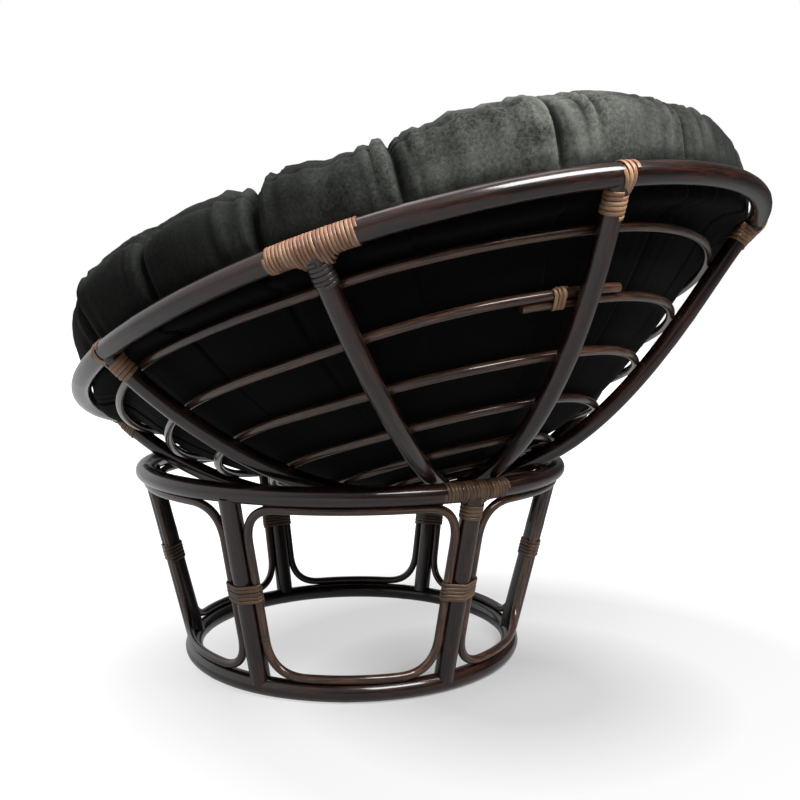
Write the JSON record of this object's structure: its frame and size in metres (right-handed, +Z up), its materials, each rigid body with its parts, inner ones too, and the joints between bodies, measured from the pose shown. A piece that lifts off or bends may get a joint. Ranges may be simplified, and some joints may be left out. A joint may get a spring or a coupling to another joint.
{
  "type": "papasan chair",
  "caption": "Round rattan bowl chair lying tilted in a ring stand, with a deep gathered cushion; the bowl tilts in its ring and the cushion lifts out.",
  "frame": {"origin": "on the floor under the middle of the chair's bounding box", "axes": "+Z up, -Y towards the low front of the bowl, +X to the sitter's left"},
  "size_m": [1.0088, 1.065, 0.8108],
  "materials": {
    "rattan_dark": "dark stain under gloss lacquer",
    "rattan_slim": "dark stain under gloss lacquer",
    "cane_tan": "natural peel, satin",
    "cane_dark": "stained peel, satin",
    "suede": "short-napped suede cloth, matt"
  },
  "bodies": {
    "stand": {"leg_1": "rattan_dark", "leg_2": "rattan_dark", "leg_3": "rattan_dark", "leg_4": "rattan_dark", "leg_5": "rattan_dark", "leg_6": "rattan_dark", "leg_binding_1": "cane_dark", "leg_binding_2": "cane_dark", "leg_binding_3": "cane_dark", "leg_binding_4": "cane_dark", "leg_binding_5": "cane_dark", "leg_binding_6": "cane_dark", "leg_top_lashing_2": "cane_dark", "leg_top_lashing_5": "cane_dark", "panel_loop_1": "rattan_slim", "panel_loop_2": "rattan_slim", "panel_loop_3": "rattan_slim", "panel_loop_4": "rattan_slim", "panel_loop_5": "rattan_slim", "panel_loop_6": "rattan_slim", "stand_bottom_ring": "rattan_dark", "stand_top_ring": "rattan_dark", "stand_top_ring_binding": "cane_dark"},
    "bowl": {"bowl_hub": "rattan_dark", "bowl_rim": "rattan_dark", "rib_1": "rattan_dark", "rib_2": "rattan_dark", "rib_3": "rattan_dark", "rib_4": "rattan_dark", "rib_5": "rattan_dark", "rib_6": "rattan_dark", "rib_7": "rattan_dark", "rib_8": "rattan_dark", "rib_lashing_1": "cane_tan", "rib_lashing_2": "cane_tan", "rib_lashing_3": "cane_dark", "rib_lashing_4": "cane_tan", "rib_lashing_5": "cane_tan", "rib_lashing_6": "cane_tan", "rib_lashing_7": "cane_tan", "rib_lashing_8": "cane_tan", "rim_joint_binding": "cane_tan", "rim_lashing_1": "cane_tan", "rim_lashing_2": "cane_tan", "rim_lashing_4": "cane_tan", "rim_lashing_5": "cane_tan", "rim_lashing_6": "cane_tan", "rim_lashing_7": "cane_tan", "rim_lashing_8": "cane_tan", "ring_lap_binding": "cane_tan", "shell_ring_1": "rattan_slim", "shell_ring_2": "rattan_slim", "shell_ring_3": "rattan_slim", "shell_ring_4": "rattan_slim", "shell_ring_5": "rattan_slim", "shell_ring_6": "rattan_slim"},
    "cushion": {"cushion": "suede"}
  },
  "joints": [
    {"name": "bowl_tilt", "type": "hinge", "parent": "stand", "child": "bowl", "pos_m": [0, -0.12965, 0.9362], "axis": [1, 0, 0], "range_deg": [-18.7, 2]},
    {"name": "cushion_lift", "type": "slide", "parent": "bowl", "child": "cushion", "axis": [0, -0.3206, 0.9472], "range_m": [0, 0.45]}
  ]
}
